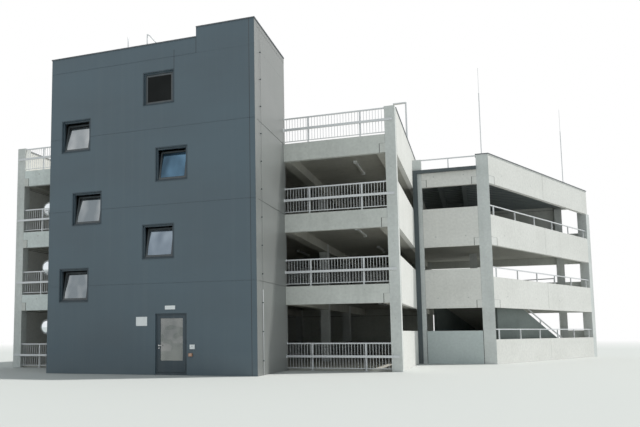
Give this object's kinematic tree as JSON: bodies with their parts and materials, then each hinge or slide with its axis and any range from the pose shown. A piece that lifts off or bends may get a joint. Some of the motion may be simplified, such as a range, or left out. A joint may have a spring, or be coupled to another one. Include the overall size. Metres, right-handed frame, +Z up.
{
  "type": "multi storey car park",
  "caption": "Multi storey car park of precast concrete decks with baluster railings, a metal-clad stair tower in front and a slanted wing.",
  "frame": {"origin": "ground level at the middle of the footprint", "axes": "+X to the right along the front, +Y from the stair tower to the rear, +Z up"},
  "size_m": [26.5616, 23.0584, 14.04],
  "materials": {
    "concrete_panels": "matte",
    "concrete_structure": "matte",
    "galvanised_steel": "satin",
    "tower_cladding": "satin",
    "side_cladding": "satin",
    "coping_metal": "satin",
    "light_plastic": "satin",
    "roof_steel": "matte",
    "gutter_metal": "satin",
    "window_metal": "satin",
    "door_paint": "satin",
    "mirror_back": "satin",
    "door_glass": "gloss",
    "handle_metal": "satin"
  },
  "bodies": {
    "building": {"ground_slab": "concrete_structure", "deck_1": "concrete_structure", "deck_2": "concrete_structure", "deck_3": "concrete_structure", "wing_ground_slab": "concrete_structure", "wing_deck_1": "concrete_structure", "wing_deck_2": "concrete_structure", "front_columns": "concrete_structure", "inner_columns": "concrete_structure", "rim_columns": "concrete_structure", "wing_columns": "concrete_structure", "front_beams": "concrete_panels", "right_side_panels": "concrete_panels", "left_side_panels": "concrete_panels", "rear_panels": "concrete_panels", "stub_panels": "concrete_panels", "slanted_panels": "concrete_panels", "deck_beams": "concrete_structure", "copings": "coping_metal", "roof_sheet": "roof_steel", "roof_beams": "roof_steel", "gutter_and_downpipe": "gutter_metal", "front_railings": "galvanised_steel", "crash_rails": "galvanised_steel", "handrails": "galvanised_steel", "ramp": "concrete_structure", "ramp_walls": "concrete_panels", "traffic_mirrors": "mirror_back", "soffit_lights": "light_plastic", "deck_lamp": "galvanised_steel", "lightning_rods": "galvanised_steel", "tower_front_wall": "tower_cladding", "tower_front_left": "tower_cladding", "tower_front_right": "tower_cladding", "tower_side_walls": "side_cladding", "tower_rear_wall": "side_cladding", "tower_floors": "concrete_structure", "tower_roof": "concrete_structure", "window_frames": "window_metal", "window_sashes": "window_metal", "entrance_frame": "window_metal", "deck_doors": "door_paint"},
    "entrance_door": {"door_leaf": "window_metal", "door_glass": "door_glass", "door_handle": "handle_metal"}
  },
  "joints": [
    {"name": "entrance_hinge", "type": "hinge", "parent": "building", "child": "entrance_door", "pos_m": [-3.01831, -11.457, 1.1], "axis": [0, 0, 1], "range_deg": [0, 100]}
  ]
}
